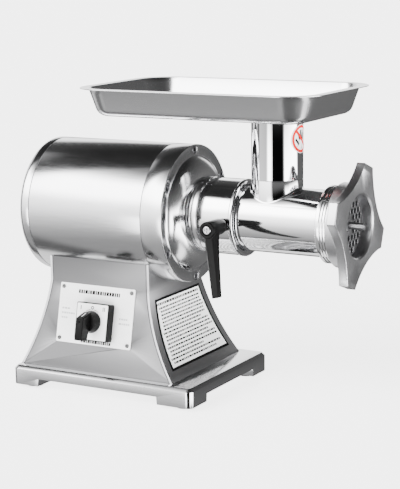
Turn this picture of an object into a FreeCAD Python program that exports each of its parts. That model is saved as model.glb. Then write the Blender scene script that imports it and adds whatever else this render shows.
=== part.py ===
"""Electric meat grinder: motor and gearbox in a round housing on a sheet-metal stand, with a grinding head on the front.

Lengths are in millimetres. Stations along the machine are measured from the middle of the base plate towards the
grinding head, heights from the surface that the feet stand on. Every piece is moved back by MIDDLE before it is
saved, so that the part's own origin lies under the middle of the whole machine. The control panel faces -Y.
"""

import FreeCAD, Part
import os
from math import acos, atan, cos, degrees, hypot, pi, radians, sin, sqrt, tan

from FreeCAD import Placement, Rotation, Vector

os.makedirs("parts", exist_ok=True)

X = Vector(1, 0, 0)
Y = Vector(0, 1, 0)
Z = Vector(0, 0, 1)
FIT = 0.05  # radial clearance of a running fit
GAP = 0.3  # clearance between bodies that only pass each other

# Base plate and feet
BASE_LENGTH = 302.6
BASE_WIDTH = 235.8
FOOT_HEIGHT = 5.0
FOOT_RADIUS = 13.0
BASE_TOP = 33.0
BASE_CHAMFER = 4.7
BASE_CORNER = 9.0
SIDE_SLOT_FROM = -106.0
SIDE_SLOT_TO = 95.0
END_SLOT_HALF = 71.0
SLOT_TOP = 16.3
SLOT_LEAN = 1.5
FOOT_X = 128.0
FOOT_Y = 94.0

# Stand
CREASE_Z = 157.4
STAND_REAR = -107.9
STAND_FRONT = 60.8
STAND_HALF = 74.7
FLARE = 0.2195  # sideways growth of the stand per millimetre of drop
SKIRT_FRONT = 112.6
SKIRT_REAR = -146.5
FRONT_SAG = 8.0
REAR_SAG = 6.5
SHEET = 2.0
STAND_FLANGE = 24.0
SEAM_INSET = 4.0
SEAM_GAP = 0.5
CRADLE_TOP = 200.0

# Shaft line and motor housing
AXIS_Z = 260.2
HOUSING_RADIUS = 99.6
TUBE_WALL = 1.4
TUBE_REAR = -126.8
TUBE_FRONT = 63.1
CAP_REAR = -145.1
CAP_ROUND = 9.0
END_SHIELD = -112.0

# Front flange and head socket
FLANGE_FRONT = 96.5
RIM_INNER = 84.2
NECK_REAR = 113.2
NECK_FRONT = 127.7
NECK_RADIUS = 54.6
FLANGE_BOLT_RADIUS = 92.4
FLANGE_BOLTS = 6
SOCKET_FRONT = 184.2
SOCKET_RADIUS = 54.4
LIP_LENGTH = 6.0

# Motor
BEARING_BORE = 8.5
BEARING_OUTER = 20.0
STACK_REAR = -74.0
STACK_FRONT = -20.0
STATOR_OUTER = 92.0
STATOR_BORE = 46.0
SLOT_COUNT = 24
AIR_GAP = 0.5

# Gearbox: two spur stages that return to the shaft line
BOX_REAR = 12.0
BOX_WALL = 14.0
BOX_CHAMBER = 85.0
CENTRES = 45.0
MODULE_ONE = 1.5
PINION_TEETH = 13
WHEEL_TEETH = 47
MODULE_TWO = 2.0
SECOND_PINION_TEETH = 15
SECOND_WHEEL_TEETH = 30
STAGE_ONE = 31.0
STAGE_TWO = 48.0
FACE_WIDTH = 13.0
PRESSURE_ANGLE = radians(20)
BACKLASH = 0.16
FLANGE_WALL = 66.0
OUTPUT_JOURNAL = 12.5
OUTPUT_BEARING = 26.0
OUTPUT_TIP = 144.0
SQUARE_DRIVE = 17.6

# Grinding head
SPIGOT_REAR = 146.0
HEAD_RADIUS = 46.7
HEAD_BORE = 41.0
COLLAR_REAR = 309.5
COLLAR_FRONT = 336.0
COLLAR_RADIUS = 54.2
THREAD_PITCH = 4.0
STUB_X = 228.3
STUB_RADIUS = 36.2
STUB_TOP = 319.0
STUB_BORE = 33.5
SIGN_Z = 376.2
SIGN_RADIUS = 19.8
PLATE_REAR = 328.0
PLATE_FRONT = 337.0
PLATE_RADIUS = 49.0
PIN_RADIUS = 5.0
PIN_TIP = 361.0
CORE_FRONT = 315.0
STUD_SHANK = 6.0
STUD_DEPTH = 20.0
KNIFE_SQUARE = 13.0

# Ring nut
NUT_REAR = 327.0
STAR_REAR = 341.0
STAR_FRONT = 354.0
NUT_HUB = 59.0
MOUTH_RADIUS = 44.0
LOBES = 4
LOBE_TURN = 70.0
LOBE_REACH = 85.6
LOBE_HALF = 14.5
LOBE_WAIST = 60.5

# Feed tube and tray
TRAY_LENGTH = 375.0
TRAY_WIDTH = 241.6
TRAY_X = 144.8
TRAY_TOP = 445.0
TRAY_FLOOR = 405.0
TRAY_CORNER = 55.0
TRAY_RIM = 13.0
TRAY_INSET = 27.0
TRAY_SHEET = 1.2
TRAY_ROUND = 14.0
THROAT = 32.2
SPIGOT_LENGTH = 16.0

# Clamp lever
LEVER_X = 168.0
LEVER_Z = 256.0
LEVER_LEAN = 11.5

# Cord gland
GLAND_Z = 62.0
GLAND_BODY = 8.0
GLAND_BORE = 4.25
GLAND_FRONT = -112.0

# Control panel, in its own coordinates: x, v up the slope from the crease, w out of the slope
PANEL_FROM = -88.0
PANEL_TO = 39.5
PANEL_TOP = -1.2
PANEL_BOTTOM = -88.0
PANEL_SHEET = 1.5
PANEL_INSET = 5.6
PANEL_OPENING = 20.0
SWITCH_X = -20.3
SWITCH_V = -53.4
SWITCH_HALF = 27.3
SWITCH_DEPTH = 14.6
DIAL_SHEET = 0.8
DIAL_INSET = 1.5
SPINDLE_RADIUS = 3.0
KNOB_SEAT = PANEL_SHEET + SWITCH_DEPTH + DIAL_SHEET + GAP
KNOB_RADIUS = 16.2
KNOB_NECK = 14.0
KNOB_DRUM = 14.0
KNOB_RISE = 31.4
GRIP_HALF = 6.3
GRIP_TOP = 14.0
GRIP_SHOULDER = 5.4
GRIP_BOTTOM = -26.6

# The frame's origin lies on the floor under the middle of the overall length and width
MIDDLE = (PIN_TIP - BASE_LENGTH / 2) / 2
SIDE_MIDDLE = -9.1


def save(name, shape):
    """Write one node, moved into the part's own frame."""
    moved = shape.copy()
    moved.translate(Vector(-MIDDLE, -SIDE_MIDDLE, 0))
    moved.exportStep("parts/" + name + ".step")


def join(shapes):
    """One solid out of several that touch or overlap."""
    shapes = list(shapes)
    return shapes[0].fuse(shapes[1:]).removeSplitter()


def group(shapes):
    """Separate solids that share one node."""
    return Part.makeCompound(list(shapes))


def block(x0, x1, y0, y1, z0, z1):
    return Part.makeBox(x1 - x0, y1 - y0, z1 - z0, Vector(x0, y0, z0))


def round_block(x0, x1, y0, y1, z0, z1, radius):
    """A block with rounded upright edges."""
    solid = block(x0, x1, y0, y1, z0, z1)
    uprights = [e for e in solid.Edges if abs(e.tangentAt(e.FirstParameter).z) > 0.9]
    return solid.makeFillet(radius, uprights)


def bar(radius, x0, x1, y=0.0, z=AXIS_Z):
    """A round bar along the shaft line's direction."""
    return Part.makeCylinder(radius, x1 - x0, Vector(x0, y, z), X)


def sleeve(outer, inner, x0, x1, y=0.0, z=AXIS_Z):
    return bar(outer, x0, x1, y, z).cut(bar(inner, x0 - 1, x1 + 1, y, z))


def post(radius, z0, z1, x=0.0, y=0.0):
    """A round bar that stands upright."""
    return Part.makeCylinder(radius, z1 - z0, Vector(x, y, z0), Z)


def turned(points):
    """A closed outline of (station, radius) points turned about the shaft line."""
    corners = [Vector(x, 0, AXIS_Z + r) for x, r in points]
    face = Part.Face(Part.makePolygon(corners + corners[:1]))
    return face.revolve(Vector(0, 0, AXIS_Z), X, 360)


def around(radius, angle):
    """The (y, z) place at an angle round the shaft line, measured from +Y towards +Z."""
    a = radians(angle)
    return radius * cos(a), AXIS_Z + radius * sin(a)


def spun(shape, angle):
    """A copy turned about the shaft line."""
    copy = shape.copy()
    copy.rotate(Vector(0, 0, AXIS_Z), X, angle)
    return copy


def square_bar(side, x0, x1):
    return block(x0, x1, -side / 2, side / 2, AXIS_Z - side / 2, AXIS_Z + side / 2)


def sagged(start, end, sag, side):
    """A flat arc between two (x, z) points in the XZ plane, with its middle moved by sag towards side."""
    a = Vector(start[0], 0, start[1])
    b = Vector(end[0], 0, end[1])
    chord = b - a
    normal = Vector(chord.z, 0, -chord.x).normalize()
    if normal.x * side < 0:
        normal = normal.negative()
    return Part.Arc(a, (a + b) * 0.5 + normal * sag, b).toShape()


def cross_head(radius, rise):
    """A pan head that stands on z = 0, with a crossed recess for the driver."""
    head = post(radius, 0, rise)
    head = head.makeFillet(0.3 * radius, [e for e in head.Edges if e.BoundBox.ZMin > rise - 0.1])
    arm = 0.6 * radius
    half = 0.11 * radius
    floor = 0.45 * rise
    head = head.cut(block(-arm, arm, -half, half, floor, rise + 1))
    return head.cut(block(-half, half, -arm, arm, floor, rise + 1))


# Base


def foot_places():
    return [(sx * FOOT_X, sy * FOOT_Y) for sx in (-1, 1) for sy in (-1, 1)]


def side_tunnel():
    """The tunnel across the underside, whose ends lean outwards towards the floor."""
    points = [(SIDE_SLOT_FROM - SLOT_LEAN, 0), (SIDE_SLOT_TO + SLOT_LEAN, 0), (SIDE_SLOT_TO, SLOT_TOP),
              (SIDE_SLOT_FROM, SLOT_TOP)]
    corners = [Vector(x, -BASE_WIDTH, z) for x, z in points]
    return Part.Face(Part.makePolygon(corners + corners[:1])).extrude(Y * 2 * BASE_WIDTH)


def end_tunnel():
    """The tunnel along the underside, from end to end."""
    points = [(-END_SLOT_HALF - SLOT_LEAN, 0), (END_SLOT_HALF + SLOT_LEAN, 0), (END_SLOT_HALF, SLOT_TOP),
              (-END_SLOT_HALF, SLOT_TOP)]
    corners = [Vector(-BASE_LENGTH, y, z) for y, z in points]
    return Part.Face(Part.makePolygon(corners + corners[:1])).extrude(X * 2 * BASE_LENGTH)


def base_plate():
    """Cast slab on four corner pads, with a bevelled top edge and tunnels between the pads."""
    half_x = BASE_LENGTH / 2
    half_y = BASE_WIDTH / 2
    solid = round_block(-half_x, half_x, -half_y, half_y, FOOT_HEIGHT, BASE_TOP, BASE_CORNER)
    top = [e for e in solid.Edges if e.BoundBox.ZMin > BASE_TOP - 0.01]
    solid = solid.makeChamfer(BASE_CHAMFER, top)
    solid = solid.cut(side_tunnel()).cut(end_tunnel())
    for x, y in foot_places():
        solid = solid.cut(post(2.6, FOOT_HEIGHT - 1, 17, x, y))
    for x, y in bolt_places():
        solid = solid.cut(post(3.1, FOOT_HEIGHT, BASE_TOP + 1, x, y))
        solid = solid.cut(post(7, FOOT_HEIGHT, SLOT_TOP + 5, x, y))
    return solid


def rubber_feet():
    feet = []
    for x, y in foot_places():
        foot = post(FOOT_RADIUS, 0, FOOT_HEIGHT, x, y)
        foot = foot.makeChamfer(1.0, [e for e in foot.Edges if e.BoundBox.ZMax < 0.1])
        foot = foot.cut(post(2.6, -1, FOOT_HEIGHT + 1, x, y)).cut(post(6.2, -1, 3.0, x, y))
        feet.append(foot)
    return group(feet)


def foot_screws():
    return group(join([post(5.2, 1, 3, x, y), post(2.5, 2, 15, x, y)]) for x, y in foot_places())


def bolt_places():
    """The four bolts that hold the stand's inner flanges down on the base plate."""
    return [(x, y) for x in (-95.0, 70.0) for y in (-88.0, 88.0)]


def stand_bolts():
    bolts = []
    for x, y in bolt_places():
        head = post(5.4, SLOT_TOP + 1, SLOT_TOP + 5, x, y)
        nut = post(5.2, BASE_TOP + SHEET, BASE_TOP + SHEET + 4, x, y)
        bolts.append(join([head, post(2.9, SLOT_TOP + 4, BASE_TOP + SHEET + 6, x, y), nut]))
    return group(bolts)


# Stand


def stand_profile(inset):
    """The stand's side outline, as a solid across the machine, shrunk by inset at its front and rear."""
    front_foot = (SKIRT_FRONT - inset, BASE_TOP)
    rear_foot = (SKIRT_REAR + inset, BASE_TOP)
    front_top = (STAND_FRONT - inset, CREASE_Z)
    rear_top = (STAND_REAR + inset, CREASE_Z)
    corners = [Vector(x, 0, z) for x, z in (front_top, (front_top[0], CRADLE_TOP),
                                            (rear_top[0], CRADLE_TOP), rear_top)]
    edges = [
        Part.makeLine(Vector(rear_foot[0], 0, BASE_TOP), Vector(front_foot[0], 0, BASE_TOP)),
        sagged(front_foot, front_top, FRONT_SAG, -1),
        Part.makeLine(corners[0], corners[1]),
        Part.makeLine(corners[1], corners[2]),
        Part.makeLine(corners[2], corners[3]),
        sagged(rear_top, rear_foot, REAR_SAG, 1),
    ]
    face = Part.Face(Part.Wire(edges))
    face.translate(Vector(0, -150, 0))
    return face.extrude(Y * 300)


def stand_section(inset):
    """The stand's end outline, as a solid along the machine, shrunk by inset at both sides."""
    slant = inset * hypot(1, FLARE)
    foot = STAND_HALF + FLARE * (CREASE_Z - BASE_TOP) - slant
    top = STAND_HALF - inset
    points = [(-foot, BASE_TOP), (foot, BASE_TOP), (STAND_HALF - slant, CREASE_Z), (top, CRADLE_TOP),
              (-top, CRADLE_TOP), (slant - STAND_HALF, CREASE_Z)]
    corners = [Vector(-200, y, z) for y, z in points]
    return Part.Face(Part.makePolygon(corners + corners[:1])).extrude(X * 400)


def stand_shell():
    """The whole bent sheet of the stand, open below, with its top cut to the motor tube."""
    outer = stand_profile(0).common(stand_section(0))
    inner = stand_profile(SHEET).common(stand_section(SHEET))
    return outer.cut(inner).cut(bar(HOUSING_RADIUS + 0.05, -200, 200))


def solids_where(shape, test):
    chosen = [s for s in shape.Solids if test(s.CenterOfMass)]
    return chosen[0] if len(chosen) == 1 else group(chosen)


def stand_sides():
    """The two side panels: (side facing +Y, side facing -Y with the switch opening)."""
    panels = stand_shell().common(stand_profile(SEAM_INSET + SEAM_GAP))
    left = solids_where(panels, lambda c: c.y > 20)
    right = solids_where(panels, lambda c: c.y < -20)
    right = right.cut(on_panel(switch_opening(-9, 9)))
    for x, v in plate_screw_places():
        right = right.cut(on_panel(post(1.6, -9, 9, x, v)))
    flanges = []
    foot = STAND_HALF + FLARE * (CREASE_Z - BASE_TOP)
    inner = foot - STAND_FLANGE
    outer = foot - 0.3 * SHEET
    for side in (-1, 1):
        points = [(side * inner, BASE_TOP), (side * outer, BASE_TOP),
                  (side * (outer - SHEET * FLARE), BASE_TOP + SHEET), (side * inner, BASE_TOP + SHEET)]
        corners = [Vector(-120, y, z) for y, z in points]
        flanges.append(Part.Face(Part.makePolygon(corners + corners[:1])).extrude(X * 210))
    for x, y in bolt_places():
        flanges = [f.cut(post(3.1, BASE_TOP - 1, BASE_TOP + SHEET + 1, x, y)) for f in flanges]
    return join([left, flanges[1]]), join([right, flanges[0]])


def stand_ends():
    """The concave front sheet and the rear sheet, each bent a little way round the corners."""
    ends = stand_shell().cut(stand_profile(SEAM_INSET))
    front = solids_where(ends, lambda c: c.x > 0)
    rear = solids_where(ends, lambda c: c.x < 0)
    return front, rear.cut(bar(GLAND_BODY, -200, -100, 0, GLAND_Z))


def cable_gland():
    """Moulded gland for the supply cord, which leaves through the rear sheet."""
    barrel = sleeve(GLAND_BODY - 0.1, GLAND_BORE, -147, GLAND_FRONT, 0, GLAND_Z)
    collar = hexagon(10.5, -149.0, -143.0, GLAND_Z).cut(bar(GLAND_BORE, -160, -100, 0, GLAND_Z))
    return join([barrel, collar])


def gland_nut():
    return hexagon(12.0, -126.0, -121.0, GLAND_Z).cut(bar(GLAND_BODY, -140, -100, 0, GLAND_Z))


def hexagon(reach, x0, x1, z):
    """A six-sided prism along X whose corners lie reach from its axis."""
    corners = [Vector(x0, reach * cos(radians(60 * i)), z + reach * sin(radians(60 * i))) for i in range(7)]
    return Part.Face(Part.makePolygon(corners)).extrude(X * (x1 - x0))


# Control panel


def on_panel(shape):
    """Carry a shape from the panel's own coordinates to the sloping side that faces -Y."""
    placed = shape.copy()
    tilt = 90 - degrees(atan(FLARE))
    placed.Placement = Placement(Vector(0, -STAND_HALF, CREASE_Z), Rotation(X, tilt)).multiply(placed.Placement)
    return placed


def plate_screw_places():
    columns = (PANEL_FROM + PANEL_INSET, PANEL_TO - PANEL_INSET)
    rows = (PANEL_TOP - PANEL_INSET, PANEL_BOTTOM + PANEL_INSET)
    return [(x, v) for x in columns for v in rows]


def switch_opening(w0, w1):
    return block(SWITCH_X - PANEL_OPENING, SWITCH_X + PANEL_OPENING, SWITCH_V - PANEL_OPENING,
                 SWITCH_V + PANEL_OPENING, w0, w1)


def control_plate():
    plate = round_block(PANEL_FROM, PANEL_TO, PANEL_BOTTOM, PANEL_TOP, 0, PANEL_SHEET, 2)
    plate = plate.cut(switch_opening(-1, 3))
    for x, v in plate_screw_places():
        plate = plate.cut(post(1.6, -1, 3, x, v))
    return on_panel(plate)


def control_plate_screws():
    screws = []
    for x, v in plate_screw_places():
        screw = join([cross_head(2.9, 1.6), post(1.5, -6 - PANEL_SHEET, 0.2)])
        screw.translate(Vector(x, v, PANEL_SHEET))
        screws.append(on_panel(screw))
    return group(screws)


def switch_square(inset, w0, w1, radius):
    """A rounded square slab centred on the switch."""
    half = SWITCH_HALF - inset
    return round_block(SWITCH_X - half, SWITCH_X + half, SWITCH_V - half, SWITCH_V + half, w0, w1, radius)


def switch_housing():
    """Square moulded box in front of the control plate, hollow behind its front wall."""
    face = PANEL_SHEET + SWITCH_DEPTH
    box = switch_square(0, PANEL_SHEET, face, 2).cut(switch_square(9.3, 0, face - 3, 1))
    return on_panel(box.cut(post(6, 0, 30, SWITCH_X, SWITCH_V)))


def switch_dial_plate():
    face = PANEL_SHEET + SWITCH_DEPTH
    plate = switch_square(DIAL_INSET, face, face + DIAL_SHEET, 1.5)
    return on_panel(plate.cut(post(6, 0, 30, SWITCH_X, SWITCH_V)))


def switch_knob():
    """Tapered drum with a tall pointer grip that overhangs it below, bored for the spindle."""
    outer = KNOB_SEAT + KNOB_RISE
    shelf = KNOB_SEAT + KNOB_DRUM
    drum = post(KNOB_RADIUS, KNOB_SEAT, KNOB_SEAT + 3)
    drum = drum.fuse(Part.makeCone(KNOB_RADIUS, KNOB_NECK, KNOB_DRUM - 3, Vector(0, 0, KNOB_SEAT + 3), Z))
    side = [(GRIP_TOP, shelf - 6), (GRIP_TOP, shelf - 1), (GRIP_SHOULDER, outer), (GRIP_BOTTOM, outer),
            (GRIP_BOTTOM, shelf + 2), (2 - KNOB_NECK, shelf - 1), (2 - KNOB_NECK, shelf - 6)]
    corners = [Vector(-GRIP_HALF, v, w) for v, w in side]
    grip = Part.Face(Part.makePolygon(corners + corners[:1])).extrude(X * 2 * GRIP_HALF)
    ends = [e for e in grip.Edges if e.BoundBox.XLength < 0.1 and e.BoundBox.ZMin > shelf - 2]
    grip = grip.makeFillet(1.6, ends)
    knob = drum.fuse(grip).removeSplitter()
    knob = knob.cut(post(SPINDLE_RADIUS, 0, KNOB_SEAT + 15))
    knob = knob.cut(post(2.6, outer - 2.0, outer + 1))
    knob.translate(Vector(SWITCH_X, SWITCH_V, 0))
    return on_panel(knob)


def switch_spindle():
    return on_panel(post(SPINDLE_RADIUS, -30, KNOB_SEAT + 15, SWITCH_X, SWITCH_V))


def switch_contact_block():
    """Cam switch body behind the panel, with two terminals on its back."""
    body = round_block(SWITCH_X - 17, SWITCH_X + 17, SWITCH_V - 17, SWITCH_V + 17, -38, 9, 2)
    body = body.cut(post(SPINDLE_RADIUS + FIT, -31, 12, SWITCH_X, SWITCH_V))
    tabs = [block(SWITCH_X + dx - 2, SWITCH_X + dx + 2, SWITCH_V - 1, SWITCH_V + 1, -46, -37.5) for dx in (-9, 9)]
    return on_panel(join([body] + tabs))


def information_panel():
    """Thin printed panel that follows the concave front sheet, narrower towards its top."""
    low, high, margin, sheet = 46.0, 141.5, 14.3, 0.5
    skin = stand_profile(-sheet).cut(stand_profile(0))
    bottom = STAND_HALF + FLARE * (CREASE_Z - low) - margin
    top = STAND_HALF + FLARE * (CREASE_Z - high) - margin
    corners = [Vector(60, y, z) for y, z in ((-bottom, low), (bottom, low), (top, high), (-top, high))]
    window = Part.Face(Part.makePolygon(corners + corners[:1])).extrude(X * 80)
    return skin.common(window)


def start_capacitor():
    can = bar(19, -60, 20, 30, 80)
    cap = bar(15, 20, 24, 30, 80)
    pins = [bar(1.5, 24, 34, 30 + dy, 80) for dy in (-6, 6)]
    return join([can, cap] + pins)


def capacitor_clamp():
    """Strap that holds the capacitor to a bracket standing on the base plate."""
    strap = sleeve(21, 19, -30, -14, 30, 80)
    foot = block(-30, -14, 20, 40, BASE_TOP, 60).cut(bar(19, -40, 0, 30, 80))
    return join([strap, foot])


def terminal_block():
    """Ceramic connector strip for the supply cord and the motor leads."""
    strip = round_block(-80, -36, -30, -12, BASE_TOP, BASE_TOP + 16, 2)
    for i in range(4):
        strip = strip.cut(post(2.6, BASE_TOP + 8, BASE_TOP + 20, -74 + 10.5 * i, -21))
    return strip


# Motor housing


def motor_tube():
    """Rolled sheet tube, with a slim break at both ends."""
    inner = HOUSING_RADIUS - TUBE_WALL
    return turned([(TUBE_REAR, inner), (TUBE_REAR, HOUSING_RADIUS - 0.5), (TUBE_REAR + 0.5, HOUSING_RADIUS),
                   (TUBE_FRONT - 0.5, HOUSING_RADIUS), (TUBE_FRONT, HOUSING_RADIUS - 0.5), (TUBE_FRONT, inner)])


def cap_screw_places():
    return [around(82, 45 + 90 * i) for i in range(4)]


def rear_cap():
    """Drawn cap over the fan, with air slots in its flat rear face."""
    outer = bar(HOUSING_RADIUS, CAP_REAR, TUBE_REAR - 0.4)
    outer = outer.makeFillet(CAP_ROUND, [e for e in outer.Edges if e.BoundBox.XMax < CAP_REAR + 0.1])
    cavity = bar(HOUSING_RADIUS - TUBE_WALL, CAP_REAR + 1.6, TUBE_REAR)
    cavity = cavity.makeFillet(CAP_ROUND - 1.4, [e for e in cavity.Edges if e.BoundBox.XMax < CAP_REAR + 1.7])
    cap = outer.cut(cavity)
    slot = block(CAP_REAR - 1, CAP_REAR + 3, 32, 68, AXIS_Z - 2.2, AXIS_Z + 2.2)
    slot = slot.makeFillet(2.1, [e for e in slot.Edges if abs(e.tangentAt(e.FirstParameter).x) > 0.9])
    for i in range(16):
        cap = cap.cut(spun(slot, 360 / 16 * i))
    for y, z in cap_screw_places():
        cap = cap.cut(bar(2.6, CAP_REAR - 1, CAP_REAR + 3, y, z))
    return cap


def rear_cap_screws():
    screws = []
    for y, z in cap_screw_places():
        screw = join([cross_head(4.6, 2.6), post(2.4, -27, 0.3)])
        screw.rotate(Vector(0, 0, 0), Y, -90)
        screw.translate(Vector(CAP_REAR, y, z))
        screws.append(screw)
    return group(screws)


def rear_end_shield():
    """Cast disc that carries the rear bearing and takes the cap's screws."""
    inner = HOUSING_RADIUS - TUBE_WALL - 0.1
    disc = turned([(-126.5, 78), (-126.5, inner), (-104, inner), (-104, 90), (-106, 28), (-98, 28), (-98, 10.5),
                   (END_SHIELD, 10.5), (END_SHIELD, 28), (-112, 78)])
    disc = disc.cut(bar(BEARING_OUTER, -110.5, -97))
    window = block(-115, -100, 36, 64, AXIS_Z - 9, AXIS_Z + 9)
    for i in range(6):
        disc = disc.cut(spun(window, 60 * i + 30))
    for y, z in cap_screw_places():
        disc = disc.cut(bar(2.5, -130, -117, y, z))
    return disc


def stator_slot(x0, x1, spare):
    """One winding slot, or with spare the bar of wire that fills it."""
    return block(x0, x1, 50 + spare, 72 - spare, AXIS_Z - 3.2 + spare, AXIS_Z + 3.2 - spare)


def stator_core():
    core = sleeve(STATOR_OUTER, STATOR_BORE, STACK_REAR, STACK_FRONT)
    slots = [spun(stator_slot(STACK_REAR - 1, STACK_FRONT + 1, 0), 360 / SLOT_COUNT * i) for i in range(SLOT_COUNT)]
    return core.cut(group(slots))


def stator_windings():
    """Coil heads at both ends of the stack, joined by the wire in the slots."""
    rings = []
    for x0, x1 in ((STACK_REAR - 18, STACK_REAR - 0.2), (STACK_FRONT + 0.2, STACK_FRONT + 18)):
        ring = sleeve(80, 50, x0, x1)
        rings.append(ring.makeFillet(6, [e for e in ring.Edges if e.Curve.TypeId == "Part::GeomCircle"]))
    bars = [spun(stator_slot(STACK_REAR - 1, STACK_FRONT + 1, 0.3), 360 / SLOT_COUNT * i)
            for i in range(SLOT_COUNT)]
    return join(rings + bars)


def rotor_core():
    """Laminated rotor with short-circuit rings, pressed on the shaft."""
    outer = STATOR_BORE - AIR_GAP
    core = bar(outer, STACK_REAR, STACK_FRONT)
    rings = [sleeve(outer - 3, 26, STACK_REAR - 7, STACK_REAR), sleeve(outer - 3, 26, STACK_FRONT, STACK_FRONT + 7)]
    return join([core] + rings).cut(bar(11, STACK_REAR - 1, STACK_FRONT + 1))


def motor_shaft():
    journal = BEARING_BORE - FIT
    return turned([(-138, 0), (-138, 6), (-114, 6), (-114, journal), (-97, journal), (-97, 11),
                   (8, 11), (8, journal), (28, journal), (28, 6), (46, 6), (46, 0)])


def cooling_fan():
    """Moulded fan hub with flat radial blades."""
    hub = sleeve(14, 6, -136, -118)
    disc = sleeve(70, 6, -120.5, -118)
    blade = block(-135, -119, 13, 68, AXIS_Z - 1.2, AXIS_Z + 1.2)
    return join([hub, disc] + [spun(blade, 40 * i) for i in range(9)])


def ball_bearing(outer, bore, x0, x1, y=0.0, z=AXIS_Z):
    """A closed bearing as one ring, with the shallow step of its seals on both faces."""
    ring = sleeve(outer, bore, x0, x1, y, z)
    step = (outer - bore) * 0.25
    for face in (x0, x1 - 0.6):
        ring = ring.cut(sleeve(outer - step, bore + step, face, face + 0.6, y, z))
    return ring


def motor_bearings():
    rear = ball_bearing(BEARING_OUTER, BEARING_BORE, -110.5, -98.5)
    front = ball_bearing(BEARING_OUTER, BEARING_BORE, BOX_REAR + 1, BOX_REAR + 13)
    return group([rear, front])


# Gearbox


def gearbox_housing():
    """Cast cup inside the tube: its floor carries the motor shaft and the countershaft."""
    inner = HOUSING_RADIUS - TUBE_WALL - 0.1
    floor_front = BOX_REAR + BOX_WALL
    cup = turned([(BOX_REAR, 0), (BOX_REAR, inner), (TUBE_FRONT, inner), (TUBE_FRONT, BOX_CHAMBER),
                  (floor_front, BOX_CHAMBER), (floor_front, 0)])
    cup = cup.cut(bar(BEARING_OUTER, BOX_REAR + 1, BOX_REAR + 13)).cut(bar(12.5, BOX_REAR - 1, 40))
    cup = cup.cut(bar(17.5, BOX_REAR + 3, 40, 0, AXIS_Z + CENTRES))
    for y, z in flange_bolt_places():
        cup = cup.cut(bar(2.9, TUBE_FRONT - 20, TUBE_FRONT + 1, y, z))
    return cup


def involute_angle(base, radius):
    """Polar angle of the involute of a base circle where it reaches a radius."""
    if radius <= base:
        return 0.0
    return sqrt(radius * radius - base * base) / base - acos(base / radius)


def spur_gear(module, teeth, x0, width, centre_z, bore, turn=0.0, thinning=0.0, reach=1.0):
    """Involute spur gear on an axis along X. A tooth points up at turn 0; thinning narrows each tooth."""
    pitch = module * teeth / 2
    base = pitch * cos(PRESSURE_ANGLE)
    root = pitch - 1.25 * module
    tip = pitch + reach * module
    half = pi / (2 * teeth) - thinning / (2 * pitch) + involute_angle(base, pitch)
    start = max(root + 0.05 * module, base)

    def place(radius, angle):
        a = radians(turn) + angle
        return Vector(x0, -radius * sin(a), centre_z + radius * cos(a))

    def flank(radius, centre, side):
        return place(radius, centre + side * (half - involute_angle(base, radius)))

    edges = []
    middle = (start + tip) / 2
    for i in range(teeth):
        centre = 2 * pi * i / teeth
        foot_in = place(root, centre - half)
        foot_out = place(root, centre + half)
        following = place(root, centre + 2 * pi / teeth - half)
        edges.append(Part.makeLine(foot_in, flank(start, centre, -1)))
        edges.append(Part.Arc(flank(start, centre, -1), flank(middle, centre, -1), flank(tip, centre, -1)).toShape())
        edges.append(Part.Arc(flank(tip, centre, -1), place(tip, centre), flank(tip, centre, 1)).toShape())
        edges.append(Part.Arc(flank(tip, centre, 1), flank(middle, centre, 1), flank(start, centre, 1)).toShape())
        edges.append(Part.makeLine(flank(start, centre, 1), foot_out))
        edges.append(Part.Arc(foot_out, place(root, centre + pi / teeth), following).toShape())
    blank = Part.Face(Part.Wire(edges)).extrude(X * width)
    return blank.cut(bar(bore, x0 - 1, x0 + width + 1, 0, centre_z))


def lower_turn(teeth):
    """The turn in degrees that puts a gap at the bottom of a gear, where its partner's tooth points up."""
    return 180.0 / teeth if teeth % 2 == 0 else 0.0


def motor_pinion():
    return spur_gear(MODULE_ONE, PINION_TEETH, STAGE_ONE, FACE_WIDTH, AXIS_Z, 6, thinning=BACKLASH)


def counter_gear():
    """First-stage wheel, with a web between its rim and hub."""
    z = AXIS_Z + CENTRES
    gear = spur_gear(MODULE_ONE, WHEEL_TEETH, STAGE_ONE + 0.5, FACE_WIDTH - 1, z, 9,
                     turn=lower_turn(WHEEL_TEETH), reach=0.8)
    for x0 in (STAGE_ONE + 0.4, STAGE_ONE + 9.5):
        gear = gear.cut(sleeve(30, 15, x0, x0 + 3.1, 0, z))
    return gear


def counter_pinion():
    z = AXIS_Z + CENTRES
    return spur_gear(MODULE_TWO, SECOND_PINION_TEETH, STAGE_TWO, FACE_WIDTH + 1, z, 9, thinning=BACKLASH,
                     turn=lower_turn(SECOND_PINION_TEETH))


def countershaft():
    z = AXIS_Z + CENTRES
    journal = 7.5 - FIT
    return join([bar(journal, BOX_REAR + 4, FLANGE_WALL + 10, 0, z), bar(9, 28, FLANGE_WALL - 1.5, 0, z)])


def counter_bearings():
    z = AXIS_Z + CENTRES
    rear = ball_bearing(17.5, 7.5, BOX_REAR + 3, BOX_REAR + 14, 0, z)
    return group([rear, ball_bearing(17.5, 7.5, FLANGE_WALL, FLANGE_WALL + 11, 0, z)])


def output_gear():
    """Second-stage wheel on the shaft line."""
    gear = spur_gear(MODULE_TWO, SECOND_WHEEL_TEETH, STAGE_TWO + 0.5, FACE_WIDTH, AXIS_Z, 14)
    for x0 in (STAGE_TWO + 0.4, STAGE_TWO + 10.5):
        gear = gear.cut(sleeve(25, 19, x0, x0 + 3.1))
    return gear


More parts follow.
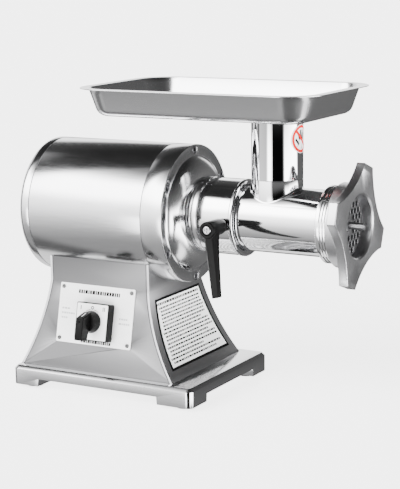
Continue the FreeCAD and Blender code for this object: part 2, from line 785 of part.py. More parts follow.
def output_shaft():
    """Steel shaft with a seat for the wheel, two journals and a square socket in its nose."""
    journal = OUTPUT_JOURNAL - FIT
    shaft = turned([(STAGE_TWO - 0.5, 0), (STAGE_TWO - 0.5, 14), (STAGE_TWO + 15, 14), (STAGE_TWO + 15, 16.5),
                    (80, 16.5), (80, journal), (125, journal), (125, 20), (OUTPUT_TIP, 20), (OUTPUT_TIP, 0)])
    return shaft.cut(square_bar(SQUARE_DRIVE + 2 * GAP, NECK_FRONT, OUTPUT_TIP + 1))


def output_bearings():
    return group([ball_bearing(OUTPUT_BEARING, OUTPUT_JOURNAL, x, x + 15) for x in (82, 98.5)])


def oil_seal():
    """Lip seal in the mouth of the neck."""
    return turned([(115, OUTPUT_JOURNAL + FIT), (115, 26), (122, 26), (122, 23), (116.5, 23),
                   (116.5, 15), (120, OUTPUT_JOURNAL + 1.2), (120, OUTPUT_JOURNAL + FIT)])


def flange_bolt_places():
    return [around(FLANGE_BOLT_RADIUS, 30 + 360 / FLANGE_BOLTS * i) for i in range(FLANGE_BOLTS)]


def front_flange():
    """Cast gearbox cover: flat screw rim, rounded cone and a bored neck for the output bearings."""
    def at(x, r):
        return Vector(x, 0, AXIS_Z + r)

    gap = 0.4
    outline = [
        (TUBE_FRONT + gap, HOUSING_RADIUS), (FLANGE_FRONT - 0.8, HOUSING_RADIUS),
        (FLANGE_FRONT, HOUSING_RADIUS - 0.8), (FLANGE_FRONT, RIM_INNER), (FLANGE_FRONT - 1.0, RIM_INNER - 1.0),
    ]
    edges = [Part.makeLine(at(*a), at(*b)) for a, b in zip(outline, outline[1:])]
    crown = at(FLANGE_FRONT + 9.2, 72.5)
    neck = (NECK_REAR, 50.0)
    edges.append(Part.Arc(at(*outline[-1]), crown, at(*neck)).toShape())
    inside = [neck, (NECK_FRONT, 50.0), (NECK_FRONT, OUTPUT_BEARING), (82, OUTPUT_BEARING), (82, 18),
              (FLANGE_WALL, 18), (FLANGE_WALL, BOX_CHAMBER), (TUBE_FRONT + gap, BOX_CHAMBER), outline[0]]
    edges += [Part.makeLine(at(*a), at(*b)) for a, b in zip(inside, inside[1:])]
    solid = Part.Face(Part.Wire(edges)).revolve(Vector(0, 0, AXIS_Z), X, 360)
    solid = solid.cut(bar(17.5, FLANGE_WALL - 1, FLANGE_WALL + 11, 0, AXIS_Z + CENTRES))
    for y, z in flange_bolt_places():
        solid = solid.cut(bar(3.1, TUBE_FRONT, FLANGE_FRONT + 1, y, z))
        solid = solid.cut(bar(6.0, FLANGE_FRONT - 5, FLANGE_FRONT + 1, y, z))
    return solid


def flange_screws():
    """Cap screws with hexagon sockets, sunk in the flange's rim."""
    screws = []
    for y, z in flange_bolt_places():
        head = bar(5.4, FLANGE_FRONT - 5, FLANGE_FRONT - 0.3, y, z)
        head = head.makeChamfer(0.6, [e for e in head.Edges if e.BoundBox.XMin > FLANGE_FRONT - 0.4])
        socket = hexagon(3.0, FLANGE_FRONT - 3, FLANGE_FRONT + 1, z)
        socket.translate(Vector(0, y, 0))
        screws.append(join([head, bar(2.8, TUBE_FRONT - 16, FLANGE_FRONT - 4, y, z)]).cut(socket))
    return group(screws)


def neck_ring():
    """Turned ring on the flange's neck, between the cone and the socket."""
    return turned([(NECK_REAR + 0.2, 50.05), (NECK_REAR + 0.2, NECK_RADIUS - 0.6), (NECK_REAR + 0.8, NECK_RADIUS),
                   (NECK_FRONT - 0.9, NECK_RADIUS), (NECK_FRONT - 0.3, NECK_RADIUS - 0.6),
                   (NECK_FRONT - 0.3, 50.05)])


def head_socket():
    """Polished tube that receives the head, with a rolled lip and a drilled boss for the clamp stud."""
    bore = HEAD_RADIUS + 0.08
    lip = SOCKET_FRONT - LIP_LENGTH
    socket = turned([
        (NECK_FRONT, 30), (NECK_FRONT, SOCKET_RADIUS - 0.5), (NECK_FRONT + 0.5, SOCKET_RADIUS),
        (lip, SOCKET_RADIUS), (lip + 0.6, SOCKET_RADIUS + 0.9), (SOCKET_FRONT - 2.2, SOCKET_RADIUS + 0.9),
        (SOCKET_FRONT - 0.7, SOCKET_RADIUS + 0.1), (SOCKET_FRONT, SOCKET_RADIUS - 1.6),
        (SOCKET_FRONT, bore + 2.4), (SOCKET_FRONT - 2.4, bore), (NECK_FRONT + 4, bore), (NECK_FRONT + 4, 30)])
    return socket.cut(along_lever(4.2, -60, -40))


# Clamp lever


def along_lever(radius, y0, y1):
    """A round bar along the clamp stud's axis."""
    return Part.makeCylinder(radius, y1 - y0, Vector(LEVER_X, y0, LEVER_Z), Y)


def clamp_stud():
    """Threaded stud through the socket's wall, with the serrated drum that the handle engages."""
    shank = along_lever(4.2 - FIT, -89.5, -47.2)
    drum = along_lever(6.8, -80, -66)
    return join([shank, drum])


def lever_hub_profile():
    """Outline of the handle's hub as (distance along -Y, radius)."""
    return [(56.0, 10.2), (61.0, 11.2), (80.0, 11.8), (95.6, 11.8), (97.0, 10.4)]


def lever_handle():
    """Moulded clamping handle: a turned hub, and a tapered arm that hangs down and leans outwards."""
    outline = lever_hub_profile()
    corners = [Vector(LEVER_X + r, -y, LEVER_Z) for y, r in [(56.0, 0)] + outline + [(97.0, 0)]]
    hub = Part.Face(Part.makePolygon(corners + corners[:1])).revolve(Vector(LEVER_X, 0, LEVER_Z), Y, 360)
    sections = []
    for reach, width, depth, out in ((2.0, 20.5, 20, 84.5), (30.0, 17.5, 14, 91.0), (62.0, 15.5, 11, 97.5),
                                     (92.5, 13.0, 10, 103.5)):
        sections.append(arm_section(reach, width, depth, out))
    arm = Part.makeLoft(sections, True, True)
    grip = join([hub, arm])
    grip = grip.cut(along_lever(7.0, -82.5, -50))
    grip = grip.cut(along_lever(4.3, -90, -80))
    return grip.cut(along_lever(7.4, -100, -88.5))


def arm_section(reach, width, depth, out):
    """A rounded rectangle across the handle's arm, reach below the hub and out from the machine."""
    lean = radians(LEVER_LEAN)
    centre = Vector(LEVER_X + reach * sin(lean), -out, LEVER_Z - reach * cos(lean))
    across = Vector(cos(lean), 0, sin(lean))
    cut = min(width, depth) * 0.28
    points = []
    for sx, sy in ((1, 1), (-1, 1), (-1, -1), (1, -1)):
        corner = (sx * width / 2, sy * depth / 2)
        first = (corner[0], corner[1] - sy * cut)
        second = (corner[0] - sx * cut, corner[1])
        points += [first, second] if sx * sy > 0 else [second, first]
    ring = [centre + across * a + Y * b for a, b in points]
    return Part.makePolygon(ring + ring[:1])


def lever_screw():
    """Cross-head screw that keeps the handle on its stud."""
    screw = join([cross_head(6.2, 4.1), post(2.5, -3.5, 0.3)])
    screw.rotate(Vector(0, 0, 0), X, 90)
    screw.translate(Vector(LEVER_X, -93.5, LEVER_Z))
    return screw


def lever_spring():
    """Coil spring round the stud screw, which draws the handle back on to the drum."""
    return along_lever(5.8, -93.4, -88.6).cut(along_lever(4.4, -94, -88))


# Grinding head


def thread_outline(x0, x1):
    """Crests and valleys of the collar's thread from its rear to its front, as (station, radius)."""
    points = []
    x = x0
    while x + THREAD_PITCH <= x1:
        points += [(x, COLLAR_RADIUS - 1.3), (x + 1.0, COLLAR_RADIUS - 1.3), (x + 1.9, COLLAR_RADIUS),
                   (x + 3.1, COLLAR_RADIUS)]
        x += THREAD_PITCH
    return points


def head_tube():
    """Cast head: long barrel, threaded collar in front and an upright stub for the feed tube."""
    outline = [(SPIGOT_REAR, HEAD_RADIUS - 0.8), (SPIGOT_REAR + 0.8, HEAD_RADIUS), (COLLAR_REAR, HEAD_RADIUS),
               (COLLAR_REAR, COLLAR_RADIUS - 0.7), (COLLAR_REAR + 0.7, COLLAR_RADIUS),
               (COLLAR_REAR + 5.3, COLLAR_RADIUS), (COLLAR_REAR + 6.0, COLLAR_RADIUS - 0.7)]
    outline += thread_outline(COLLAR_REAR + 6.4, COLLAR_FRONT - 0.5)
    outline += [(COLLAR_FRONT, COLLAR_RADIUS - 1.3), (COLLAR_FRONT, 0), (SPIGOT_REAR, 0)]
    body = turned(outline)
    stub = post(STUB_RADIUS, AXIS_Z, STUB_TOP, STUB_X)
    body = body.fuse(stub)
    seam = [e for e in body.Edges
            if e.BoundBox.ZMin > AXIS_Z + 20 and e.BoundBox.ZMax < STUB_TOP - 5
            and abs(e.BoundBox.Center.x - STUB_X) < 2 and e.BoundBox.XLength > 30]
    body = body.makeFillet(4.0, seam)
    body = body.cut(bar(HEAD_BORE, SPIGOT_REAR + 12, COLLAR_FRONT + 1))
    body = body.cut(bar(PLATE_RADIUS + FIT, NUT_REAR, COLLAR_FRONT + 1))
    body = body.cut(bar(26, SPIGOT_REAR - 1, SPIGOT_REAR + 13))
    body = body.cut(post(STUB_BORE, AXIS_Z, STUB_TOP + 1, STUB_X))
    return body.cut(bar(2.5, NUT_REAR - 3, COLLAR_FRONT + 1, 0, AXIS_Z - PLATE_RADIUS))


def auger_bushing():
    """Plain bearing ring for the auger's tail."""
    return sleeve(26, 20 + FIT, SPIGOT_REAR, SPIGOT_REAR + 12)


def plate_key():
    """Pin in the collar's mouth that stops the grinding plate from turning."""
    return bar(2.4, NUT_REAR - 3, PLATE_FRONT - 2.5, 0, AXIS_Z - PLATE_RADIUS)


def auger():
    """Feed screw: square tail, journal and a tapered core with one helical flight, bored for its stud."""
    body = join([
        square_bar(SQUARE_DRIVE, NECK_FRONT + 1.3, SPIGOT_REAR),
        bar(20, SPIGOT_REAR - 1.2, SPIGOT_REAR + 13.5),
        turned([(SPIGOT_REAR + 12.3, 0), (SPIGOT_REAR + 12.3, 23), (SPIGOT_REAR + 18, 23), (CORE_FRONT, 16),
                (CORE_FRONT, 0)]),
    ])
    body = body.fuse(auger_flight(SPIGOT_REAR + 19, CORE_FRONT - 1.5))
    return body.cut(bar(STUD_SHANK, CORE_FRONT - STUD_DEPTH, CORE_FRONT + 1))


def auger_stud():
    """Steel stud screwed into the auger: a square for the knife, and the front pin that the plate carries."""
    return join([
        bar(STUD_SHANK, CORE_FRONT - STUD_DEPTH, CORE_FRONT),
        square_bar(KNIFE_SQUARE, CORE_FRONT, PLATE_REAR - 0.6),
        bar(PIN_RADIUS, PLATE_REAR - 1, PIN_TIP - 1.2),
        bar(PIN_RADIUS - 1.2, PIN_TIP - 2, PIN_TIP),
    ])


def auger_flight(x0, x1):
    """One helical ribbon, thicker at its root than at its tip."""
    pitch = 42.0
    inner, outer = 12.0, HEAD_BORE - 0.7
    thick = 6.0
    span = x1 - x0 - thick
    helix = Part.makeHelix(pitch, span, outer)
    profile = Part.makePolygon([Vector(inner, 0, -1), Vector(outer, 0, 0), Vector(outer, 0, thick - 2),
                                Vector(inner, 0, thick - 1), Vector(inner, 0, -1)])
    flight = Part.Wire(helix.Edges).makePipeShell([profile], True, True)
    flight.rotate(Vector(0, 0, 0), Y, 90)
    flight.translate(Vector(x0 + 1, 0, AXIS_Z))
    return flight


def knife():
    """Four-armed cutting knife driven by the auger's square."""
    x0, x1 = PLATE_REAR - 8.5, PLATE_REAR - GAP
    arm = block(x0, x1, -6, 6, AXIS_Z, AXIS_Z + HEAD_BORE - 2.5)
    arms = [spun(arm, 90 * i + 20) for i in range(4)]
    return join([bar(15, x0, x1)] + arms).cut(square_bar(KNIFE_SQUARE + 0.2, x0 - 1, x1 + 1))


def grinding_plate():
    """Perforated plate with a bore for the auger's pin and a notch for its key."""
    plate = bar(PLATE_RADIUS, PLATE_REAR, PLATE_FRONT)
    plate = plate.fuse(bar(10, PLATE_FRONT, PLATE_FRONT + 1.2))
    pitch = 10.4
    holes = []
    for row in range(-4, 5):
        for column in range(-5, 6):
            y = pitch * (column + 0.5 * (row % 2))
            z = pitch * row * sqrt(3) / 2
            if 13.5 < hypot(y, z) < 40.5:
                holes.append(bar(4.0, PLATE_REAR - 1, PLATE_FRONT + 2, y, AXIS_Z + z))
    plate = plate.cut(group(holes))
    plate = plate.cut(bar(PIN_RADIUS + FIT, PLATE_REAR - 1, PLATE_FRONT + 3))
    return plate.cut(bar(2.6, PLATE_REAR - 1, PLATE_FRONT + 1, 0, AXIS_Z - PLATE_RADIUS))


def lobe_outline(x):
    """The nut's star outline: flat lobe ends joined by concave arcs."""
    edges = []
    spread = degrees(atan(LOBE_HALF / LOBE_REACH))
    tip = hypot(LOBE_REACH, LOBE_HALF)
    step = 360 / LOBES
    for i in range(LOBES):
        angle = LOBE_TURN + step * i
        first = Vector(x, *around(tip, angle - spread))
        second = Vector(x, *around(tip, angle + spread))
        waist = Vector(x, *around(LOBE_WAIST, angle + step / 2))
        following = Vector(x, *around(tip, angle + step - spread))
        edges.append(Part.makeLine(first, second))
        edges.append(Part.Arc(second, waist, following).toShape())
    return Part.Wire(edges)


def ring_nut():
    """Four-lobed hand nut that screws on the collar and holds the plate in."""
    star = Part.Face(lobe_outline(STAR_REAR)).extrude(X * (STAR_FRONT - STAR_REAR))
    rims = [e for e in star.Edges if e.BoundBox.XLength < 0.1]
    star = star.makeFillet(1.2, rims)
    nut = star.fuse(bar(NUT_HUB, NUT_REAR, STAR_REAR + 2))
    nut = nut.cut(bar(COLLAR_RADIUS + 0.35, NUT_REAR - 1, PLATE_FRONT + 0.3))
    nut = nut.cut(bar(MOUTH_RADIUS, PLATE_FRONT - 1, STAR_FRONT + 1))
    bevel = Part.makeCone(MOUTH_RADIUS - 1, MOUTH_RADIUS + 3, 4, Vector(STAR_FRONT - 3, 0, AXIS_Z), X)
    return nut.cut(bevel)


# Feed tube and tray


def rounded_plan(inset, z):
    """The tray's plan outline at a height, moved in by inset, with corners about fixed centres."""
    half_x = TRAY_LENGTH / 2 - inset
    half_y = TRAY_WIDTH / 2 - inset
    radius = TRAY_CORNER - inset
    cx, cy = half_x - radius, half_y - radius
    edges = []
    for i, (sx, sy) in enumerate(((1, 1), (-1, 1), (-1, -1), (1, -1))):
        centre = Vector(TRAY_X + sx * cx, sy * cy, z)
        begin = radians(90 * i)
        arc = [centre + Vector(radius * cos(begin + radians(t)), radius * sin(begin + radians(t)), 0)
               for t in (0, 45, 90)]
        edges.append(Part.Arc(*arc).toShape())
    links = []
    for i, edge in enumerate(edges):
        following = edges[(i + 1) % 4]
        links += [edge, Part.makeLine(edge.Vertexes[-1].Point, following.Vertexes[0].Point)]
    return Part.Wire(links)


def tray_form(sheet):
    """The pan's body as a solid with rounded bottom edges, larger than the space inside it by sheet."""
    wide = TRAY_RIM - sheet
    deep = TRAY_INSET - sheet
    floor = TRAY_FLOOR + TRAY_SHEET - sheet
    body = Part.makeLoft([rounded_plan(deep, floor), rounded_plan(wide, TRAY_TOP)], True, True)
    bottom = [e for e in body.Edges if e.BoundBox.ZMax < floor + 0.1]
    return body.makeFillet(TRAY_ROUND + sheet, bottom)


def tray_pan():
    """Pressed tray with a flat rim, flared walls and a hole over the feed tube."""
    rim = Part.Face(rounded_plan(0, TRAY_TOP - TRAY_SHEET)).extrude(Z * TRAY_SHEET)
    pan = rim.fuse(tray_form(TRAY_SHEET)).cut(tray_form(0))
    edge = [e for e in pan.Edges if e.BoundBox.ZMin > TRAY_TOP - 0.1 and on_rim_edge(e)]
    pan = pan.makeFillet(0.5, edge)
    return pan.cut(post(THROAT, TRAY_FLOOR - 1, TRAY_FLOOR + 5, STUB_X))


def on_rim_edge(edge):
    """True for an edge of the rim's outer outline."""
    middle = edge.valueAt((edge.FirstParameter + edge.LastParameter) / 2)
    beside = abs(middle.y) > TRAY_WIDTH / 2 - 0.1
    ahead = abs(middle.x - TRAY_X) > TRAY_LENGTH / 2 - 0.1
    return beside or ahead or edge.Curve.TypeId == "Part::GeomCircle" and edge.Curve.Radius > TRAY_CORNER - 0.1


def feed_tube():
    """Tube under the tray with its weld bead above and a narrower spigot that drops into the head's stub."""
    tube = post(STUB_RADIUS, STUB_TOP + GAP, TRAY_FLOOR, STUB_X)
    tube = tube.makeChamfer(0.4, [e for e in tube.Edges if e.BoundBox.ZMax < STUB_TOP + 1])
    bead = post(STUB_RADIUS + 1.6, TRAY_FLOOR - 2.4, TRAY_FLOOR, STUB_X)
    bead = bead.makeChamfer(1.1, [e for e in bead.Edges if e.BoundBox.ZMax < TRAY_FLOOR - 2])
    spigot = post(STUB_BORE - 0.1, STUB_TOP - SPIGOT_LENGTH, STUB_TOP + 4, STUB_X)
    return join([tube, bead, spigot]).cut(post(THROAT, STUB_TOP - SPIGOT_LENGTH - 1, TRAY_FLOOR + 1, STUB_X))


def safety_sign():
    """Round adhesive sign that bends round the feed tube."""
    skin = post(STUB_RADIUS + 0.35, 350, 400, STUB_X).cut(post(STUB_RADIUS, 349, 401, STUB_X))
    return skin.common(Part.makeCylinder(SIGN_RADIUS, 60, Vector(STUB_X, 0, SIGN_Z), X))


side_left, side_right = stand_sides()
front_sheet, rear_sheet = stand_ends()

nodes = {
    "base_plate": base_plate(),
    "rubber_feet": rubber_feet(),
    "foot_screws": foot_screws(),
    "stand_bolts": stand_bolts(),
    "stand_side_left": side_left,
    "stand_side_right": side_right,
    "stand_front_sheet": front_sheet,
    "stand_rear_sheet": rear_sheet,
    "cable_gland": cable_gland(),
    "gland_nut": gland_nut(),
    "control_plate": control_plate(),
    "control_plate_screws": control_plate_screws(),
    "switch_housing": switch_housing(),
    "switch_dial_plate": switch_dial_plate(),
    "switch_contact_block": switch_contact_block(),
    "switch_knob": switch_knob(),
    "switch_spindle": switch_spindle(),
    "information_panel": information_panel(),
    "start_capacitor": start_capacitor(),
    "capacitor_clamp": capacitor_clamp(),
    "terminal_block": terminal_block(),
    "motor_tube": motor_tube(),
    "rear_cap": rear_cap(),
    "rear_cap_screws": rear_cap_screws(),
    "rear_end_shield": rear_end_shield(),
    "stator_core": stator_core(),
    "stator_windings": stator_windings(),
    "rotor_core": rotor_core(),
    "motor_shaft": motor_shaft(),
    "cooling_fan": cooling_fan(),
    "motor_bearings": motor_bearings(),
    "gearbox_housing": gearbox_housing(),
    "motor_pinion": motor_pinion(),
    "counter_gear": counter_gear(),
    "counter_pinion": counter_pinion(),
    "countershaft": countershaft(),
    "counter_bearings": counter_bearings(),
    "output_gear": output_gear(),
    "output_shaft": output_shaft(),
    "output_bearings": output_bearings(),
    "oil_seal": oil_seal(),
    "front_flange": front_flange(),
    "flange_screws": flange_screws(),
    "neck_ring": neck_ring(),
    "head_socket": head_socket(),
    "clamp_stud": clamp_stud(),
    "lever_handle": lever_handle(),
    "lever_screw": lever_screw(),
    "lever_spring": lever_spring(),
    "head_tube": head_tube(),
    "auger_bushing": auger_bushing(),
    "plate_key": plate_key(),
    "auger": auger(),
    "auger_stud": auger_stud(),
    "knife": knife(),
    "grinding_plate": grinding_plate(),
    "ring_nut": ring_nut(),
    "feed_tube": feed_tube(),
    "tray_pan": tray_pan(),
    "safety_sign": safety_sign(),
}

for name, shape in nodes.items():
    save(name, shape)
    state = "" if shape.isValid() else "  NOT VALID"
    print(f"{name:24s} {len(shape.Solids)} solid(s) {shape.Volume / 1000:9.2f} cm3{state}")
print(len(nodes), "nodes, frame origin at station", round(MIDDLE, 2))
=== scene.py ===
import math
import random

import bmesh
import bpy
from mathutils import Matrix, Vector


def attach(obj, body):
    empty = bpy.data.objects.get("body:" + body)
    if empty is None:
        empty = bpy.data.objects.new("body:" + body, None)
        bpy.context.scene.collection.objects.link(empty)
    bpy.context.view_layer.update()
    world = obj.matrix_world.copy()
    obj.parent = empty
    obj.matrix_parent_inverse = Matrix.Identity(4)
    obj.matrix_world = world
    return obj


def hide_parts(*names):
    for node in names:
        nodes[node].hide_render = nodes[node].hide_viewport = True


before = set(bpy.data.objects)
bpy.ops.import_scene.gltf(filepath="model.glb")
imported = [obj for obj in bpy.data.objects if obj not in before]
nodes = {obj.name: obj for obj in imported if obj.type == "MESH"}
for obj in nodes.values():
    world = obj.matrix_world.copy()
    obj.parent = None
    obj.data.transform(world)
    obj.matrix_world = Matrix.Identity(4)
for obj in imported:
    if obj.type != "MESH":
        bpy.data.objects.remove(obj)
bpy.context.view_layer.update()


# Base plate: a polished aluminium casting on four corner pads, with shallow tunnels between the pads and a
# bevelled upper edge. It is cast in one piece, ground and buffed, and the stand is bolted to it.

MID = Vector((-0.10485, 0.0091, 0.0))  # the base plate's middle in the CAD frame


FINEST = 0.015  # the smoothest that any polish gets, as a roughness


def turned_rings(tree, source, centre):
    """Coordinates (distance along, distance from) a lathe's axis, which runs along x through centre."""
    moved = tree.nodes.new("ShaderNodeVectorMath")
    moved.operation = "SUBTRACT"
    moved.inputs[1].default_value = centre
    flat = tree.nodes.new("ShaderNodeVectorMath")
    flat.operation = "MULTIPLY"
    flat.inputs[1].default_value = (0, 1, 1)
    length = tree.nodes.new("ShaderNodeVectorMath")
    length.operation = "LENGTH"
    split = tree.nodes.new("ShaderNodeSeparateXYZ")
    joined = tree.nodes.new("ShaderNodeCombineXYZ")
    tree.links.new(source, moved.inputs[0])
    tree.links.new(moved.outputs[0], flat.inputs[0])
    tree.links.new(flat.outputs[0], length.inputs[0])
    tree.links.new(moved.outputs[0], split.inputs[0])
    tree.links.new(split.outputs["X"], joined.inputs["X"])
    tree.links.new(length.outputs["Value"], joined.inputs["Y"])
    return joined.outputs[0]


def surface(name, tone, metallic=1.0, rough=0.3, spread=0.1, grain=300.0, stretch=(1, 1, 1), shade=0.06,
            relief=0.0, turned=None, sheen_axis=None, sheen=0.75, gloss=0.5):
    """A node material whose roughness, tone and relief follow one stretched or turned noise."""
    material = bpy.data.materials.new(name)
    material.use_nodes = True
    tree = material.node_tree
    shader = tree.nodes["Principled BSDF"]
    shader.inputs["Metallic"].default_value = metallic
    shader.inputs["Specular IOR Level"].default_value = gloss
    source = tree.nodes.new("ShaderNodeTexCoord").outputs["Object"]
    if turned is not None:
        source = turned_rings(tree, source, turned)
    mapping = tree.nodes.new("ShaderNodeMapping")
    mapping.inputs["Scale"].default_value = stretch
    noise = tree.nodes.new("ShaderNodeTexNoise")
    noise.inputs["Scale"].default_value = grain
    noise.inputs["Detail"].default_value = 4.0
    tree.links.new(source, mapping.inputs["Vector"])
    tree.links.new(mapping.outputs[0], noise.inputs["Vector"])
    ranged = tree.nodes.new("ShaderNodeMapRange")
    ranged.inputs["From Min"].default_value = 0.25
    ranged.inputs["From Max"].default_value = 0.75
    ranged.inputs["To Min"].default_value = max(rough - spread, FINEST)
    ranged.inputs["To Max"].default_value = min(rough + spread, 1.0)
    tree.links.new(noise.outputs[0], ranged.inputs["Value"])
    tree.links.new(ranged.outputs[0], shader.inputs["Roughness"])
    ramp = tree.nodes.new("ShaderNodeValToRGB")
    ramp.color_ramp.elements[0].position = 0.3
    ramp.color_ramp.elements[1].position = 0.7
    ramp.color_ramp.elements[0].color = (*[c * (1 - shade) for c in tone], 1)
    ramp.color_ramp.elements[1].color = (*[min(c * (1 + shade), 1) for c in tone], 1)
    tree.links.new(noise.outputs[0], ramp.inputs["Fac"])
    tree.links.new(ramp.outputs["Color"], shader.inputs["Base Color"])
    if relief > 0:
        bump = tree.nodes.new("ShaderNodeBump")
        bump.inputs["Strength"].default_value = 1.0
        bump.inputs["Distance"].default_value = relief
        tree.links.new(noise.outputs[0], bump.inputs["Height"])
        tree.links.new(bump.outputs[0], shader.inputs["Normal"])
    if sheen_axis:
        tangent = tree.nodes.new("ShaderNodeTangent")
        tangent.direction_type = "RADIAL"
        tangent.axis = sheen_axis
        shader.inputs["Anisotropic"].default_value = sheen
        tree.links.new(tangent.outputs[0], shader.inputs["Tangent"])
    return material


def smooth_group(angle):
    """A node group that shades smooth across edges flatter than angle."""
    group = bpy.data.node_groups.new("smooth_below_angle", "GeometryNodeTree")
    group.interface.new_socket("Geometry", in_out="INPUT", socket_type="NodeSocketGeometry")
    group.interface.new_socket("Geometry", in_out="OUTPUT", socket_type="NodeSocketGeometry")
    start = group.nodes.new("NodeGroupInput")
    end = group.nodes.new("NodeGroupOutput")
    faces = group.nodes.new("GeometryNodeSetShadeSmooth")
    faces.domain = "FACE"
    edges = group.nodes.new("GeometryNodeSetShadeSmooth")
    edges.domain = "EDGE"
    measured = group.nodes.new("GeometryNodeInputMeshEdgeAngle")
    compare = group.nodes.new("FunctionNodeCompare")
    compare.operation = "LESS_THAN"
    compare.inputs["B"].default_value = angle
    group.links.new(start.outputs[0], faces.inputs["Geometry"])
    group.links.new(faces.outputs[0], edges.inputs["Geometry"])
    group.links.new(measured.outputs["Unsigned Angle"], compare.inputs["A"])
    group.links.new(compare.outputs[0], edges.inputs["Shade Smooth"])
    group.links.new(edges.outputs[0], end.inputs[0])
    return group


CREASE = math.radians(32)  # edges flatter than this are shaded smooth
SMOOTH = smooth_group(CREASE)


def dress(node, material, bevel=0.0004, segments=2):
    """Give a CAD node its material, softly broken edges and smooth curved faces."""
    obj = nodes[node]
    obj.data.materials.clear()
    obj.data.materials.append(material)
    weld = obj.modifiers.new("weld", "WELD")
    weld.merge_threshold = 0.00001
    if bevel > 0:
        broken = obj.modifiers.new("broken_edges", "BEVEL")
        broken.width = bevel
        broken.segments = segments
        broken.limit_method = "ANGLE"
        broken.angle_limit = math.radians(35)
        broken.use_clamp_overlap = True
        broken.miter_outer = "MITER_ARC"
    smooth = obj.modifiers.new("smooth", "NODES")
    smooth.node_group = SMOOTH
    return obj


cast_base = surface("cast_base", (0.62, 0.62, 0.63), rough=0.14, spread=0.02, grain=60, stretch=(2, 20, 20),
                    shade=0.04)
dress("base_plate", cast_base, 0.0007, 3)


# Feet: moulded black rubber buttons under the corner pads, each counterbored and held by a zinc-plated
# pan-head screw. With them come the hexagon bolts that pull the stand's inward flanges down on the base.

rubber = surface("foot_rubber", (0.008, 0.008, 0.008), metallic=0, gloss=0.3, rough=0.75, grain=900,
                 relief=0.0001)
zinc = surface("zinc_screws", (0.5, 0.5, 0.51), rough=0.3, grain=900)
dress("rubber_feet", rubber)
for name in ("foot_screws", "stand_bolts"):
    dress(name, zinc, 0.0002)


# Stand: four brushed stainless sheets, curved, creased below the tube's cradle and folded inwards at the
# foot. The side sheets wrap round the corners and meet the end sheets in a narrow seam behind each corner.

# Painted shade: the side sheets are the same stainless as the end sheets, but their tone is cut to about a
# third of theirs, so the sides look darker as light falls on them.
shaded_side_sheet = surface("stand_side_sheet_painted_shade", (0.155, 0.155, 0.158), rough=0.3, spread=0.02, grain=60,
                     stretch=(4, 4, 60), shade=0.03)
sheet_front = surface("stand_front_sheet", (0.5, 0.5, 0.51), rough=0.3, spread=0.015, grain=60,
                      stretch=(2, 60, 2), shade=0.02)
for name in ("stand_side_left", "stand_side_right"):
    dress(name, shaded_side_sheet, 0.0005)
for name in ("stand_front_sheet", "stand_rear_sheet"):
    dress(name, sheet_front, 0.0005)


# Information panel: a thin plastic sheet glued on the curved front sheet, screen-printed with a black border
# and rows of writing on a white field. The writing is drawn as dashes: a bold row, then marked paragraphs.

white_print = surface("white_print", (0.93, 0.93, 0.93), metallic=0, rough=0.35, grain=200, shade=0.015)
ink = surface("black_ink", (0.002, 0.002, 0.002), metallic=0, rough=0.7, grain=900, shade=0.3, gloss=0.1)
STAND_HALF = 0.0747  # half the stand's width at its crease
STAND_CREASE = 0.1574  # height of the crease
STAND_SPREAD = 0.2195  # how far each side leans out for each metre below the crease
FRONT_CURVE = 0.2877  # radius of the front sheet, whose axis lies across the stand at FRONT_AXIS
FRONT_AXIS = (0.3449, 0.2026)  # x from the base plate's middle, and height
PANEL_THICK = 0.0005
PANEL_INSET = 0.0143  # from the stand's side to the panel's
PANEL_LOW = 0.046
PANEL_HIGH = 0.1415
HEADING_HEIGHT = 0.1338
HEADING_INDENT = 0.0070
HEADING_SPACE = 0.0061  # from the heading down to the first line
TEXT_INDENT = 0.0115
TEXT_MARGIN = 0.0075  # on the right
LINE_PITCH = 0.0049
WORD_GAP = 0.0013


def place(name, verts, faces, material, body, slot, stands_for=()):
    """A mesh piece from points measured from the base plate's middle, riding on a CAD body."""
    mesh = bpy.data.meshes.new(name)
    mesh.from_pydata([MID + Vector(v) for v in verts], [], faces)
    work = bmesh.new()
    work.from_mesh(mesh)
    bmesh.ops.remove_doubles(work, verts=work.verts, dist=1e-7)
    bmesh.ops.recalc_face_normals(work, faces=work.faces)
    work.to_mesh(mesh)
    work.free()
    mesh.materials.append(material)
    mesh.shade_smooth()
    mesh.set_sharp_from_angle(angle=CREASE)
    obj = bpy.data.objects.new(name, mesh)
    bpy.context.scene.collection.objects.link(obj)
    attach(obj, body)
    if stands_for:
        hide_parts(*stands_for)


def skinned(rings, first=0):
    """Vertices, and faces numbered from first, of a skin over rings of equal length, capped at both ends."""
    count = len(rings[0])
    verts = [v for ring in rings for v in ring]
    faces = []
    for i in range(len(rings) - 1):
        here = first + i * count
        there = here + count
        for j in range(count):
            k = (j + 1) % count
            faces.append((here + j, here + k, there + k, there + j))
    faces.append(tuple(range(first, first + count)))
    faces.append(tuple(range(first + (len(rings) - 1) * count, first + len(rings) * count)))
    return verts, faces


def strip_rings(strip, to_point, foot, top):
    """Four-cornered rings along a strip of (u, v) pairs, from foot to top above the surface of to_point."""
    return [[to_point(*a, foot), to_point(*b, foot), to_point(*b, top), to_point(*a, top)] for a, b in strip]


def printed(name, to_point, strips, body, slot, material=ink, lift=0.00008):
    """Raised ink: a strip's (u, v) pairs join its two long sides, and to_point lays them on a surface."""
    verts = []
    faces = []
    for strip in strips:
        more, sides = skinned(strip_rings(strip, to_point, 0, lift), len(verts))
        verts += more
        faces += sides
    place(name, verts, faces, material, body, slot)


def bar_mark(u0, u1, v0, v1):
    """A straight printed bar."""
    return [((u0, v), (u1, v)) for v in (v0, v1)]


def on_front(y, z, w):
    """A point w outside the information panel's face, which is part of a cylinder lying across the stand."""
    radius = FRONT_CURVE - PANEL_THICK
    axis_x, axis_z = FRONT_AXIS
    angle = math.asin((z - axis_z) / radius)
    return Vector((axis_x - (radius - w) * math.cos(angle), y, axis_z + (radius - w) * math.sin(angle)))


